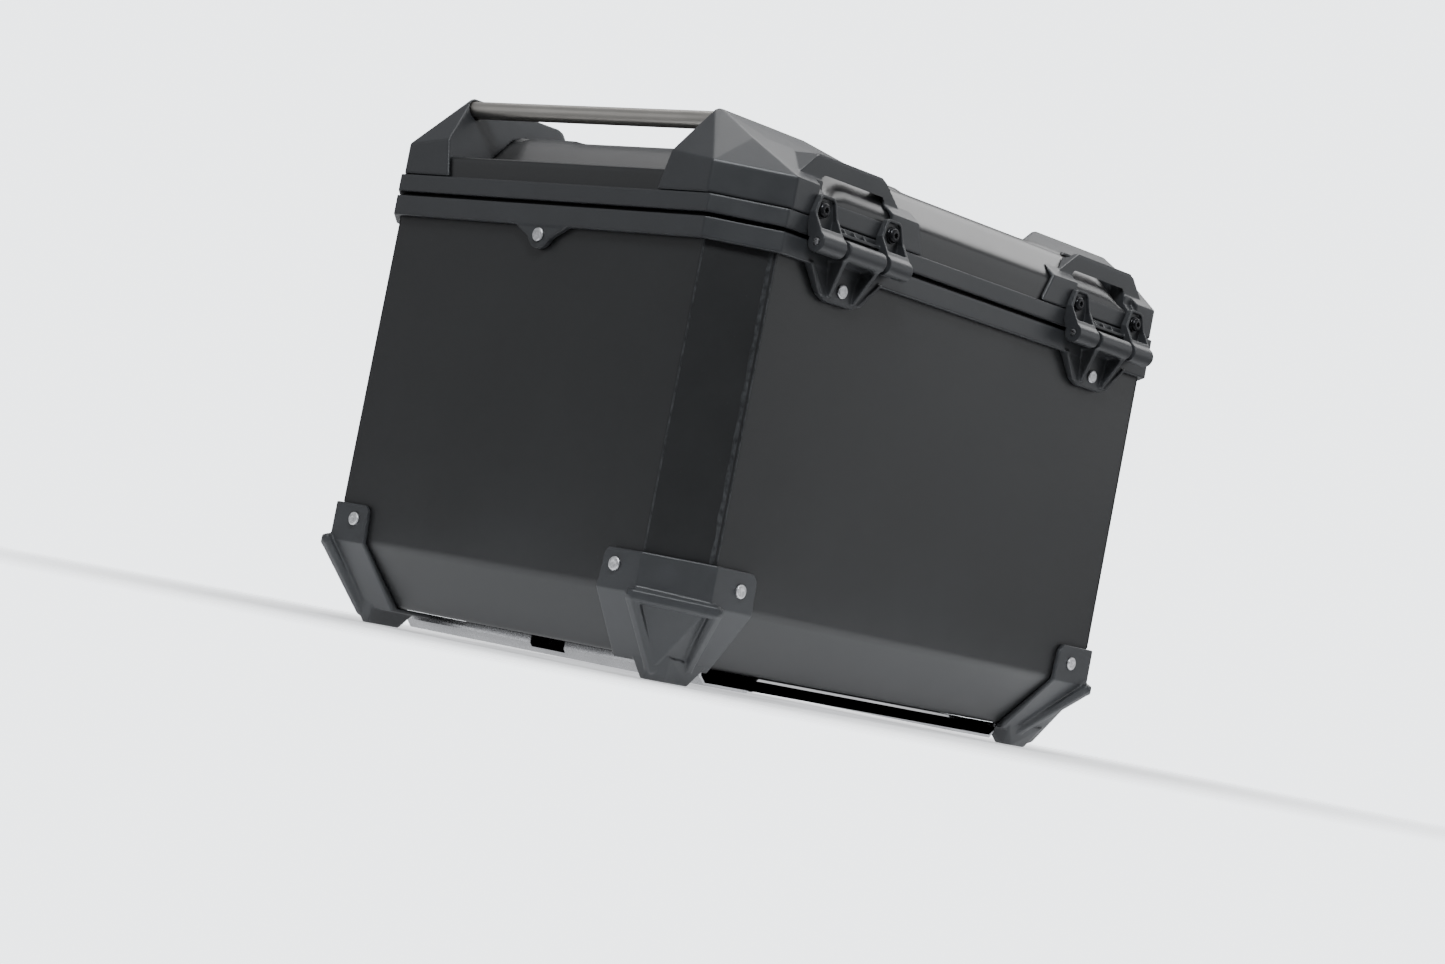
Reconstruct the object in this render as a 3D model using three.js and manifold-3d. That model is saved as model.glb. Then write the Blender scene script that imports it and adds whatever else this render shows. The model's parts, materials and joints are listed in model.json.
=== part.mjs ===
// Aluminium top case for a motorcycle rack: folded box, hinged lid, two locking flaps.
// Millimetres. X is the width, +Y the hinge side, -Y the latch side, +Z up.
// The case stands on its four corner protectors at z = 0.
import * as THREE from 'three';
import { ConvexGeometry } from 'three/addons/geometries/ConvexGeometry.js';
import { mergeVertices } from 'three/addons/utils/BufferGeometryUtils.js';
import Module from 'manifold-3d';

const wasm = await Module();
wasm.setup();

// ---------------------------------------------------------------- driving dimensions
const HALF_W = 208; // folded box, half width
const HALF_D = 152.5; // folded box, half depth
const CORNER = 29; // leg of the vertical corner chamfer
const SHEET = 1.5; // aluminium sheet
const FLOOR_Z = 12; // underside of the floor
const FOLD_Z = 46; // lower fold line of the walls
const FLOOR_X = 178; // floor half width below the bevel
const FLOOR_Y = 122.6; // floor half depth below the bevel
const RIM_Z0 = 242.5; // base rim moulding
const RIM_Z1 = 254.5;
const LID_Z0 = 257; // lid rim moulding
const LID_Z1 = 267.5;
const RIM_OUT = 4.5; // rims stand this proud of the box
const GAP = 0.3; // free gap between touching pieces

const LIDP_X = 210; // lid pressing, outer half width
const LIDP_Y = 154.5; // lid pressing, outer half depth
const LIDP_LEG = 36; // lid pressing, corner chamfer leg
const LEDGE_Z = 278.7; // low side ledges under the lashing bars
const BEVEL_Z = 283; // bevel of the raised middle starts
const TOP_Z = 303.8; // flat of the lid

const PIN_Y = 166; // hinge axis
const PIN_Z = 253.5;
const PIN_R = 2;
const BARREL_R = 6;
const HINGE_X = 124.5; // centre of each hinge and each latch
const LEAF_X = 30; // hinge ear centre from the hinge centre
const SCREW_X = 31.5; // screw from the hinge centre
const SCREW_Z = 272.5;

const FLAP_PIN_Y = -164.5; // flap pivot
const FLAP_PIN_Z = 271;
const LOCK_Z = 240; // lock cylinder axis
const RIVET_R = 4;

const BAR_X = 189; // lashing bar centre line
const BAR_Z = 313;
const BAR_R = 5.25;

// ---------------------------------------------------------------- helpers
const solid = (geometry) => {
  const g = geometry.clone();
  g.deleteAttribute('normal');
  if (g.getAttribute('uv')) g.deleteAttribute('uv');
  const m = mergeVertices(g, 1e-4);
  const vertProperties = new Float32Array(m.getAttribute('position').array);
  const triVerts = new Uint32Array(m.getIndex().array);
  return new wasm.Manifold(new wasm.Mesh({ numProp: 3, vertProperties, triVerts }));
};

const shape = (points) => {
  const s = new THREE.Shape();
  points.forEach(([u, v], i) => (i ? s.lineTo(u, v) : s.moveTo(u, v)));
  s.closePath();
  return s;
};

const hull = (points) => solid(new ConvexGeometry(points.map((p) => new THREE.Vector3(...p))));

const box = (x0, x1, y0, y1, z0, z1) => {
  const g = new THREE.BoxGeometry(x1 - x0, y1 - y0, z1 - z0);
  g.translate((x0 + x1) / 2, (y0 + y1) / 2, (z0 + z1) / 2);
  return solid(g);
};

// round bar along one axis, from a to b, through (u, v) of the other two axes
const rod = (axis, r, a, b, u, v, segments = 20, r2 = r) => {
  const g = new THREE.CylinderGeometry(r2, r, b - a, segments);
  if (axis === 'x') g.rotateZ(-Math.PI / 2);
  if (axis === 'z') g.rotateX(Math.PI / 2);
  const mid = (a + b) / 2;
  if (axis === 'x') g.translate(mid, u, v);
  if (axis === 'y') g.translate(u, mid, v);
  if (axis === 'z') g.translate(u, v, mid);
  return solid(g);
};

// flat plate drawn in x and z, reaching from y0 to y1
const plateXZ = (points, y0, y1) => {
  const g = new THREE.ExtrudeGeometry(shape(points), { depth: y1 - y0, bevelEnabled: false });
  g.rotateX(Math.PI / 2);
  g.translate(0, y1, 0);
  return solid(g);
};

// bar drawn in y and z, reaching from x0 to x1
const barYZ = (points, x0, x1) => {
  const g = new THREE.ExtrudeGeometry(shape(points), { depth: x1 - x0, bevelEnabled: false });
  g.rotateY(Math.PI / 2);
  g.rotateX(Math.PI / 2);
  g.translate(x0, 0, 0);
  return solid(g);
};

// eight corners of a chamfered rectangle at height z
const ring = (hx, hy, leg, z) => {
  const out = [];
  for (const sx of [-1, 1]) {
    for (const sy of [-1, 1]) {
      out.push([sx * hx, sy * (hy - leg), z]);
      out.push([sx * (hx - leg), sy * hy, z]);
    }
  }
  return out;
};
const boxRing = (o, z) => ring(HALF_W + o, HALF_D + o, CORNER + o * 0.586, z);
const lidRing = (o, z) => ring(LIDP_X + o, LIDP_Y + o, LIDP_LEG + o * 0.586, z);
const slab = (maker, o, z0, z1) => hull([...maker(o, z0), ...maker(o, z1)]);

// the biggest body of a cut, without the slivers beside it
const largest = (m) => m.decompose().reduce((a, b) => (b.volume() > a.volume() ? b : a));
const union = (parts) => parts.reduce((a, b) => a.add(b));
const cut = (body, tools) => tools.reduce((a, b) => a.subtract(b), body);
const mirrored = (m, axis) => m.mirror(axis === 'x' ? [1, 0, 0] : [0, 1, 0]);

const group = new THREE.Group();
group.name = 'top_case';

const material = (color, roughness, metalness) =>
  new THREE.MeshStandardMaterial({ color, roughness, metalness });
const PLASTIC = material(0x3c3e42, 0.45, 0);
const PAINTED = material(0x3a3a3b, 0.55, 0.3);
const STEEL = material(0x9a9c9e, 0.3, 1);
const TITANIUM = material(0x807c77, 0.4, 1);
const BLACK_STEEL = material(0x1c1d1f, 0.35, 0.8);
const RUBBER = material(0x141414, 0.8, 0);
const ALU = material(0xa5a7aa, 0.4, 1);

const addNode = (name, body, mat) => {
  const mesh = body.getMesh();
  const stride = mesh.numProp;
  const count = mesh.vertProperties.length / stride;
  const pos = new Float32Array(count * 3);
  for (let i = 0; i < count; i += 1) {
    for (let k = 0; k < 3; k += 1) pos[i * 3 + k] = mesh.vertProperties[i * stride + k];
  }
  const g = new THREE.BufferGeometry();
  g.setAttribute('position', new THREE.BufferAttribute(pos, 3));
  g.setIndex(new THREE.BufferAttribute(new Uint32Array(mesh.triVerts), 1));
  const flat = g.toNonIndexed();
  flat.computeVertexNormals();
  const node = new THREE.Mesh(flat, mat);
  node.name = name;
  group.add(node);
};

const corners = [
  ['right_rear', 1, 1],
  ['left_rear', -1, 1],
  ['right_front', 1, -1],
  ['left_front', -1, -1],
];
const place = (m, sx, sy) => {
  let out = m;
  if (sx < 0) out = mirrored(out, 'x');
  if (sy < 0) out = mirrored(out, 'y');
  return out;
};

// ---------------------------------------------------------------- folded box
const floorRing = (o, z) => ring(FLOOR_X + o, FLOOR_Y + o, 1.2, z);
const boxOuter = (o) =>
  hull([...floorRing(o * 0.6, FLOOR_Z - o), ...boxRing(o, FOLD_Z - o * 0.4), ...boxRing(o, 320)]);
const boxInner = hull([
  ...floorRing(-SHEET * 0.6, FLOOR_Z + SHEET),
  ...boxRing(-SHEET, FOLD_Z + SHEET * 0.4),
  ...boxRing(-SHEET, 320),
]);
const SHELL_TOP = RIM_Z1 - 5.1;

// rivet places: [name, axis, sign, surface position, other coordinate, z]
const TAB_T = 4.2; // thickness of plastic tabs on the walls
const PROT_T = 3.2; // thickness of the corner protectors
const tabRivets = [];
for (const [name, sx, sy] of corners) {
  tabRivets.push([`rivet_side_${name}`, 'x', sx, HALF_W + PROT_T, sy * 107.7, 59]);
  tabRivets.push([`rivet_face_${name}`, 'y', sy, HALF_D + PROT_T, sx * 160, 57]);
}
tabRivets.push(['rivet_tab_right', 'x', 1, HALF_W + TAB_T, 0, 237]);
tabRivets.push(['rivet_tab_left', 'x', -1, HALF_W + TAB_T, 0, 237]);
tabRivets.push(['rivet_hinge_right', 'y', 1, HALF_D + TAB_T, HINGE_X, 233]);
tabRivets.push(['rivet_hinge_left', 'y', 1, HALF_D + TAB_T, -HINGE_X, 233]);
tabRivets.push(['rivet_latch_right', 'y', -1, HALF_D + TAB_T, HINGE_X, 214]);
tabRivets.push(['rivet_latch_left', 'y', -1, HALF_D + TAB_T, -HINGE_X, 214]);

const along = (axis, sign, a, b) => (sign > 0 ? [axis, a, b] : [axis, -b, -a]);
const rivetHoles = tabRivets.map(([, axis, sign, face, other, z]) => {
  const [ax, a, b] = along(axis, sign, face - 9, face + 4);
  return rod(ax, 2.3, a, b, other, z, 12);
});

const floorScrews = [];
for (const sx of [-1, 1]) for (const sy of [-1, 1]) floorScrews.push([sx * 70, sy * 84]);
const floorHoles = floorScrews.map(([x, y]) => rod('z', 3.4, 0, 20, x, y, 12));

const shellCut = box(-400, 400, -400, 400, SHELL_TOP, 400);
const baseShell = cut(boxOuter(0), [boxInner, shellCut, ...rivetHoles, ...floorHoles]);
addNode('base_shell', baseShell, PAINTED);

// ---------------------------------------------------------------- base rim
const GROOVE_IN = -SHEET - GAP;
let rim = slab(boxRing, RIM_OUT, RIM_Z0, RIM_Z1);
// tapering tab at the middle of each side face
const sideTab = () => {
  const points = [[-23, RIM_Z0 + 1], [23, RIM_Z0 + 1]];
  for (let i = 0; i <= 8; i += 1) {
    const a = (-20 - (140 * i) / 8) * (Math.PI / 180);
    points.push([9.5 * Math.cos(a), 238.6 + 9.5 * Math.sin(a)]);
  }
  const m = plateXZ(points, HALF_W + GAP, HALF_W + TAB_T);
  return m.rotate([0, 0, -90]);
};
rim = rim.add(sideTab()).add(mirrored(sideTab(), 'x'));

// hinge bracket: flared pad, two V ribs, knuckle
const hingeBracket = (cx) => {
  const pad = plateXZ(
    [[cx - 33, RIM_Z0 + 1], [cx - 29, 239.5], [cx - 19, 228], [cx - 12, 225], [cx + 12, 225],
      [cx + 19, 228], [cx + 29, 239.5], [cx + 33, RIM_Z0 + 1]],
    HALF_D + GAP,
    HALF_D + TAB_T,
  );
  const bits = [pad];
  for (const s of [-1, 1]) {
    bits.push(hull([
      [cx + s * 13.2, 153, 250], [cx + s * 16.5, 153, 250],
      [cx + s * 13.2, 169, 249.5], [cx + s * 16.5, 169, 249.5],
      [cx + s * 9.5, 153, 228], [cx + s * 12.2, 153, 228],
      [cx + s * 9.5, 158.4, 228], [cx + s * 12.2, 158.4, 228],
    ]));
    bits.push(hull([
      [cx + s * 29.5, 153, 243.5], [cx + s * 32.5, 153, 243.5],
      [cx + s * 29.5, 158.6, 243.5], [cx + s * 32.5, 158.6, 243.5],
      [cx + s * 15.5, 153, 228.5], [cx + s * 18, 153, 227.5],
      [cx + s * 15.5, 157.4, 228.5], [cx + s * 18, 157.4, 227.5],
    ]));
  }
  bits.push(rod('x', BARREL_R, cx - 16.5, cx + 16.5, PIN_Y, PIN_Z, 28));
  bits.push(hull([
    [cx - 16.5, 153, 254.3], [cx + 16.5, 153, 254.3], [cx - 16.5, 158, 254.3], [cx + 16.5, 158, 254.3],
    [cx - 16.5, 153, 246], [cx + 16.5, 153, 246], [cx - 16.5, 164, 248.4], [cx + 16.5, 164, 248.4],
    [cx - 16.5, 163, 254.3], [cx + 16.5, 163, 254.3],
  ]));
  return union(bits);
};
for (const cx of [-HINGE_X, HINGE_X]) rim = rim.add(hingeBracket(cx));
const pinHoles = [-HINGE_X, HINGE_X].map((cx) =>
  rod('x', PIN_R + 0.12, cx - 50, cx + 50, PIN_Y, PIN_Z, 20));

// latch bracket: flared pad that carries the keeper
const latchBracket = (cx) => plateXZ(
  [[cx - 32, RIM_Z0 + 1], [cx - 27, 236], [cx - 17, 212], [cx - 11, 206.5], [cx + 11, 206.5],
    [cx + 17, 212], [cx + 27, 236], [cx + 32, RIM_Z0 + 1]],
  -HALF_D - TAB_T + 2.6,
  -HALF_D - GAP,
);
for (const cx of [-HINGE_X, HINGE_X]) rim = rim.add(latchBracket(cx));

const KEEPER_BACK = -HALF_D - TAB_T + 2.3; // back face of the keepers
const keeperSeats = [-HINGE_X, HINGE_X].map((cx) =>
  box(cx - 17.3, cx + 17.3, -165, KEEPER_BACK + GAP, 224.2, 300));
const rimInner = slab(boxRing, -4.5, 200, 300);
const sheetGroove = cut(slab(boxRing, GAP, 150, SHELL_TOP + GAP), [slab(boxRing, GROOVE_IN, 100, 300)]);
const sealGroove = cut(slab(boxRing, 1.4, 252.4, 300), [slab(boxRing, -2.6, 200, 400)]);
rim = cut(rim, [
  rimInner, sheetGroove, sealGroove, ...pinHoles, ...rivetHoles,
  ...keeperSeats,
]);
addNode('base_rim', rim, PLASTIC);

const seal = cut(slab(boxRing, 1.1, 252.7, 256.7), [slab(boxRing, -2.3, 200, 400)]);
addNode('rim_seal', seal, RUBBER);

// ---------------------------------------------------------------- rivets
const rivet = ([name, axis, sign, face, other, z], backing) => {
  const ends = (a, b) => along(axis, sign, face + a, face + b);
  const piece = (r, a, b, r2 = r, seg = 18) => {
    const [ax, p, q] = ends(a, b);
    return rod(ax, sign > 0 ? r : r2, p, q, other, z, seg, sign > 0 ? r2 : r);
  };
  const body = union([
    piece(RIVET_R, GAP, 1.2),
    piece(RIVET_R, 1.2, 1.8, RIVET_R - 0.8),
    piece(2, -backing, GAP + 0.1, 2, 10),
    piece(3.2, -backing - 1.2, -backing + 0.01, 3.2, 10),
  ]);
  addNode(name, body, STEEL);
};
for (const r of tabRivets) rivet(r, r[3] - (r[1] === 'x' ? HALF_W : HALF_D) + SHEET + GAP);

// ---------------------------------------------------------------- corner protectors
const strut = (p, q, r) => {
  const points = [];
  for (const [x, y, z] of [p, q]) {
    for (const [a, b, c] of [[1, 0, 0], [-1, 0, 0], [0, 1, 0], [0, -1, 0], [0, 0, 1], [0, 0, -1]]) {
      points.push([x + a * r, y + b * r, z + c * r]);
    }
    for (const a of [-1, 1]) {
      for (const b of [-1, 1]) for (const c of [-1, 1]) points.push([x + a * r * 0.6, y + b * r * 0.6, z + c * r * 0.6]);
    }
  }
  return hull(points);
};
const protector = () => {
  const ox = HALF_W + PROT_T;
  const oy = HALF_D + PROT_T;
  const skin = hull([
    [ox, 98, 65], [ox, 101, 68], [ox, 126, 68], [181.5, oy, 68], [151, oy, 68], [147, oy, 64],
    [ox, 96.5, 45], [ox, 126, 45], [181.5, oy, 45], [146, oy, 45],
    [182.5, 91.5, 12.5], [182, 92, 9.2], [182.5, 125, 9.2], [182, 127.4, 12.5], [140.5, 127.4, 12.5],
    [141, 126.5, 9.2], [150, 91.8, 9.2], [140.5, 112, 9.2], [150, 92, 40], [140, 112, 40], [150, 100, 66],
  ]);
  const bulgeA = [213, 126, 44];
  const bulgeB = [178, 158, 43];
  const foot = hull([
    [180, 113, 0], [180.6, 117, 0], [172, 123.5, 0], [155, 125.5, 0], [151, 122.5, 0],
    [152, 116, 0], [156, 113, 0], [184, 108, 11], [186, 125, 14], [178, 131, 14], [146, 129, 12], [146, 110, 11],
  ]);
  const frame = union([
    strut(bulgeA, bulgeB, 4.2),
    strut(bulgeA, [179.5, 120, 6.5], 4),
    strut(bulgeB, [156, 122.5, 6.5], 4),
  ]);
  const below = box(-400, 400, -400, 400, -60, 0).add(box(-142.5, 142.5, -122.6, 122.6, -1, 12.2));
  const body = cut(skin.add(foot).add(frame), [boxOuter(GAP), below, ...rivetHoles]);
  return body;
};
const protectorBody = protector();
for (const [name, sx, sy] of corners) {
  addNode(`protector_${name}`, place(protectorBody, sx, sy), PLASTIC);
}

// ---------------------------------------------------------------- mounting plate and its screws
const plateSection = () => {
  const top = [[0, 11.7], [91, 11.7], [100, 4.2], [136, 4.2], [139.7, 7.5], [139.7, 11.7], [141.5, 11.7]];
  const low = [[141.5, 6.8], [136.8, 2.2], [99.4, 2.2], [90.2, 9.8], [0, 9.8]];
  const right = [...top, ...low];
  const left = right.map(([x, z]) => [-x, z]).reverse();
  return [...right.slice(1, -1), ...left.slice(1, -1)];
};
let plate = plateXZ(plateSection(), -122, 122);
const plateCuts = [...floorHoles];
for (const sx of [-1, 1]) {
  for (const sy of [-1, 1]) {
    plateCuts.push(box(sx * 118 - 5, sx * 118 + 5, sy * 60 - 16, sy * 60 + 16, 0, 8));
    plateCuts.push(rod('z', 9, 0, 8, sx * 118, sy * 44, 20));
    plateCuts.push(hull([
      [sx * 145, sy * 130, -2], [sx * 145, sy * 118, -2], [sx * 130, sy * 130, -2], [sx * 145, sy * 130, 9],
      [sx * 145, sy * 118, 9], [sx * 130, sy * 130, 9],
    ]));
  }
}
for (const sx of [-1, 1]) plateCuts.push(box(sx * 140 - 4, sx * 140 + 4, -14, 14, 5, 20));
plateCuts.push(box(-34, 34, -60, 60, 5, 20));
plate = cut(plate, plateCuts);
addNode('mounting_plate', plate, STEEL);

const socketRecess = (x, y, z0, z1) => {
  const g = new THREE.CylinderGeometry(2.3, 2.3, z1 - z0, 6);
  g.rotateX(Math.PI / 2);
  g.translate(x, y, (z0 + z1) / 2);
  return solid(g);
};
floorScrews.forEach(([x, y], i) => {
  const head = rod('z', 6.4, FLOOR_Z + SHEET + GAP, 15.2, x, y, 18).add(rod('z', 6.4, 15.2, 17, x, y, 18, 4.4));
  const shank = rod('z', 3, 5.4, 14, x, y, 10);
  const nut = rod('z', 5.6, 5.6, 9.5, x, y, 6);
  addNode(`floor_screw_${i + 1}`, cut(union([head, shank, nut]), [socketRecess(x, y, 14.6, 18)]), STEEL);
});

// ---------------------------------------------------------------- lid rim and pressing
const lidOuter = (o) => {
  const low = hull([
    ...lidRing(o, LID_Z0 + 4),
    ...lidRing(o, LEDGE_Z - 1 + o * 0.6),
    ...lidRing(o - 1, LEDGE_Z + o),
    ...ring(183, 140, 40, LEDGE_Z + 2 + o),
  ]);
  const middle = hull([
    ...ring(181 + o, LIDP_Y + o, 40, 270),
    ...ring(181 + o, LIDP_Y + o, 40, 281 + o * 0.4),
    ...ring(179 + o * 0.9, LIDP_Y + o, 38, BEVEL_Z + o * 0.4),
    ...ring(157.5 + o * 0.5, 138.2 + o * 0.5, 30, 301.8 + o * 0.8),
    ...ring(152, 132.5, 28, TOP_Z + o),
  ]);
  const e = o * 1.5;
  const pads = [-1, 1].flatMap((sx) => [-1, 1].map((sy) => hull([
    [60 - e, 38 - e, 298], [60 - e, 134 + e, 298], [155 + e, 38 - e, 298], [155 + e, 128 + e, 298],
    [60 - e, 38 - e, TOP_Z + o], [60 - e, 132 + e, TOP_Z + o], [151.5 + e, 38 - e, TOP_Z + o],
    [151.5 + e, 104.5 + e, TOP_Z + o], [124 + e, 132 + e, TOP_Z + o],
    [84 - e, 62 - e, TOP_Z + 2.2 + o], [84 - e, 127 + e, TOP_Z + 2.2 + o],
    [146 + e, 62 - e, TOP_Z + 2.2 + o], [146 + e, 103 + e, TOP_Z + 2.2 + o],
    [121 + e, 127 + e, TOP_Z + 2.2 + o],
  ].map(([x, y, z]) => [sx * x, sy * y, z]))));
  return union([low, middle, ...pads]);
};
const lidInner = union([
  hull([
    ...lidRing(-SHEET, 200),
    ...lidRing(-SHEET, LEDGE_Z - 2.2),
    ...ring(183, 140, 40, LEDGE_Z + 2 - SHEET),
  ]),
  hull([
    ...ring(179.5, LIDP_Y - SHEET, 40, 262),
    ...ring(179.5, LIDP_Y - SHEET, 40, 280.4),
    ...ring(177.6, LIDP_Y - SHEET, 38, BEVEL_Z - 0.6),
    ...ring(156.6, 137.3, 30, 300.6),
    ...ring(152, 132.5, 28, TOP_Z - SHEET),
  ]),
]);
const lidGroove = cut(slab(lidRing, GAP, LID_Z0 + 3.7, 300), [slab(lidRing, -SHEET - GAP, 200, 400)]);
const lidRimInner = slab((o, z) => ring(203.5, 148, 33, z), 0, 200, 300);
const lidRim = cut(slab(boxRing, RIM_OUT, LID_Z0, LID_Z1), [lidRimInner, lidGroove]);
addNode('lid_rim', lidRim, PLASTIC);

const mountScrews = [];
for (const cx of [-HINGE_X, HINGE_X]) for (const s of [-1, 1]) mountScrews.push(cx + s * SCREW_X);
const screwHoles = [];
for (const x of mountScrews) {
  screwHoles.push(rod('y', 2.5, 140, 175, x, SCREW_Z, 10));
  screwHoles.push(rod('y', 2.5, -175, -140, x, SCREW_Z, 10));
}
const lidPanel = cut(lidOuter(0), [lidInner, ...screwHoles]);
addNode('lid_panel', lidPanel, PAINTED);

// ---------------------------------------------------------------- lid corner mouldings
const cornerPiece = () => {
  const z0 = LID_Z1 + GAP;
  const body = hull([
    [212.3, 85, z0], [212.3, 90.5, 290], [212.3, 123, z0], [212.3, 123, 286],
    [178.3, 156.8, z0], [178.3, 156.8, 286], [60.4, 156.8, z0], [68, 156.8, 285],
    [190, 98.7, 320], [193, 99, 318.4], [190, 102, 319.6], [116, 100, 320], [112, 100, 318.6],
    [189, 128, 304.2], [170.5, 124, 307.5],
    [104, 95, 303], [104, 88, z0], [66, 129, z0], [66, 129, 305],
  ]);
  const hump = hull([
    [77, 150, 283], [175, 150, 283], [80, 150, 290], [172, 150, 290], [95.5, 150, 302.4], [159, 150, 302.4],
    [98.5, 149.4, 304.2], [156, 149.4, 304.2], [103, 124, 306.2], [151, 124, 306.2],
    [80, 132, 283], [172, 132, 283],
  ]);
  // a strap passes in under the bar of the loop and out behind it
  const channel = (x0, x1, d) => barYZ([
    [160, 276 + d], [160, 290.5 - d], [150, 293.4 - d], [145.2, 298.6 - d], [145.2, 330], [137 + d, 330],
    [137 + d, 276 + d],
  ], x0, x1);
  const lip = hull([
    [93, 158, 278.3], [159, 158, 278.3], [93, 151.6, 284.7], [159, 151.6, 284.7], [94, 158, 290], [158, 158, 290],
    [94, 151.6, 290], [158, 151.6, 290],
  ]);
  const ledge = box(94, 158, 156.1, 158, 275.4, 276.2);
  const strapWay = union([channel(95, 151, 1.6), channel(96.2, 149.8, 0.5), channel(98, 148, 0)]);
  const socket = rod('y', BAR_R + GAP, 80, 101.4, BAR_X, BAR_Z, 28);
  const above = hull([
    [60, 159, z0], [60, 80, z0], [214, 80, z0], [214, 159, z0], [60, 159, 330], [60, 80, 330], [214, 80, 330],
    [214, 159, 330],
  ]);
  const way = strapWay.subtract(box(90, 160, 154.6, 170, 270, 278.4));
  const whole = body.add(hump).intersect(above);
  const made = cut(whole, [ledge, lip, way, lidOuter(GAP), socket, ...screwHoles]);
  return largest(made);
};
const cornerBody = cornerPiece();
for (const [name, sx, sy] of corners) addNode(`lid_corner_${name}`, place(cornerBody, sx, sy), PLASTIC);

for (const [name, s] of [['right', 1], ['left', -1]]) {
  addNode(`lashing_bar_${name}`, rod('y', BAR_R, -101.1, 101.1, s * BAR_X, BAR_Z, 32), TITANIUM);
}

// ---------------------------------------------------------------- hinges
const earShape = (x, w, z0, z1) => [
  [x - w, z0], [x + w, z0], [x + w, z1 - 11], [x + w * 0.66, z1 - 1.2], [x + w * 0.46, z1], [x - w * 0.46, z1],
  [x - w * 0.66, z1 - 1.2], [x - w, z1 - 11],
];
const hingeLeaf = (cx) => {
  const bits = [];
  const cuts = [];
  for (const s of [-1, 1]) {
    const x = cx + s * LEAF_X;
    const w = 10.2;
    const ear = earShape(x, w, 256, 280.8);
    const profile = barYZ([
      [157.3, 262], [160.2, 253.5], [171, 256.8], [168.2, 259.4], [161.8, 269.6], [160.8, 281], [157.3, 281],
    ], x - w, x + w);
    bits.push(profile.intersect(plateXZ(ear, 150, 180)));
    bits.push(rod('x', BARREL_R, x - w, x + w, PIN_Y, PIN_Z, 28));
    cuts.push(plateXZ(earShape(x, w - 1.7, 261.6, 279.3), 158.8, 175));
  }
  bits.push(box(cx - 20, cx + 20, 157.3, 161.4, 262, 263.8));
  for (const dx of [-9, 0, 9]) {
    bits.push(hull([
      [cx + dx - 0.6, 157.3, 263], [cx + dx + 0.6, 157.3, 263], [cx + dx - 0.6, 161, 263], [cx + dx + 0.6, 161, 263],
      [cx + dx - 0.6, 157.3, 267], [cx + dx + 0.6, 157.3, 267],
    ]));
  }
  return cut(union(bits), [...cuts, ...pinHoles, ...screwHoles]);
};
const screwY = (x, sign, seat) => {
  const ax = (a, b) => (sign > 0 ? [a, b] : [-b, -a]);
  const part = (r, a, b, r2 = r, seg = 16) => {
    const [p, q] = ax(a, b);
    return rod('y', sign > 0 ? r : r2, p, q, x, SCREW_Z, seg, sign > 0 ? r2 : r);
  };
  const g = new THREE.CylinderGeometry(1.9, 1.9, 1.6, 6);
  g.translate(x, sign * (seat + 3.1), SCREW_Z);
  const body = union([
    part(4.9, seat + GAP, seat + 1.1, 4.9, 18),
    part(4.2, seat + 1, seat + 2),
    part(4.2, seat + 2, seat + 3.3, 2.6),
    part(2.1, 148.5, seat + 1, 2.1, 8),
    part(4, 149, 152.6, 4, 6),
  ]);
  return body.subtract(solid(g));
};
for (const [name, s] of [['right', 1], ['left', -1]]) {
  const cx = s * HINGE_X;
  addNode(`hinge_leaf_${name}`, hingeLeaf(cx), PLASTIC);
  addNode(`hinge_pin_${name}`, rod('x', PIN_R, cx - 40.6, cx + 40.6, PIN_Y, PIN_Z, 20), STEEL);
  addNode(`hinge_screw_${name}_outer`, screwY(cx + s * SCREW_X, 1, 158.8), BLACK_STEEL);
  addNode(`hinge_screw_${name}_inner`, screwY(cx - s * SCREW_X, 1, 158.8), BLACK_STEEL);
}

// ---------------------------------------------------------------- latches
// keeper block that the closed flap snaps over, with its upper and lower edges sloped
const keeper = (cx) => hull([cx - 17, cx + 17].flatMap((x) => [
  [x, KEEPER_BACK, 224.5], [x, KEEPER_BACK, RIM_Z1], [x, -157.5, RIM_Z1], [x, -159.5, 250],
  [x, -159.5, 228.5], [x, -157, 224.5],
]));
const latchMount = (cx) => {
  const bits = [];
  const cuts = [];
  for (const s of [-1, 1]) {
    const x = cx + s * SCREW_X;
    bits.push(plateXZ(earShape(x, 12, 261, 280.8), -162.4, -157.3));
    cuts.push(plateXZ(earShape(x, 10.2, 264, 279.3), -170, -158.8));
    const a = cx + s * 19.3;
    const b = cx + s * 24;
    bits.push(rod('x', 5.2, Math.min(a, b), Math.max(a, b), FLAP_PIN_Y, FLAP_PIN_Z, 24));
    bits.push(hull([a, b].flatMap((q) => [
      [q, -157.3, 261], [q, -162.4, 261], [q, -168.6, 267.4], [q, -157.3, 277], [q, -163, 276],
    ])));
  }
  bits.push(box(cx - 22, cx + 22, -158.8, -157.3, 261, 277));
  const pinHole = rod('x', PIN_R + 0.12, cx - 30, cx + 30, FLAP_PIN_Y, FLAP_PIN_Z, 20);
  return cut(union(bits), [...cuts, pinHole, ...screwHoles]);
};
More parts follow.
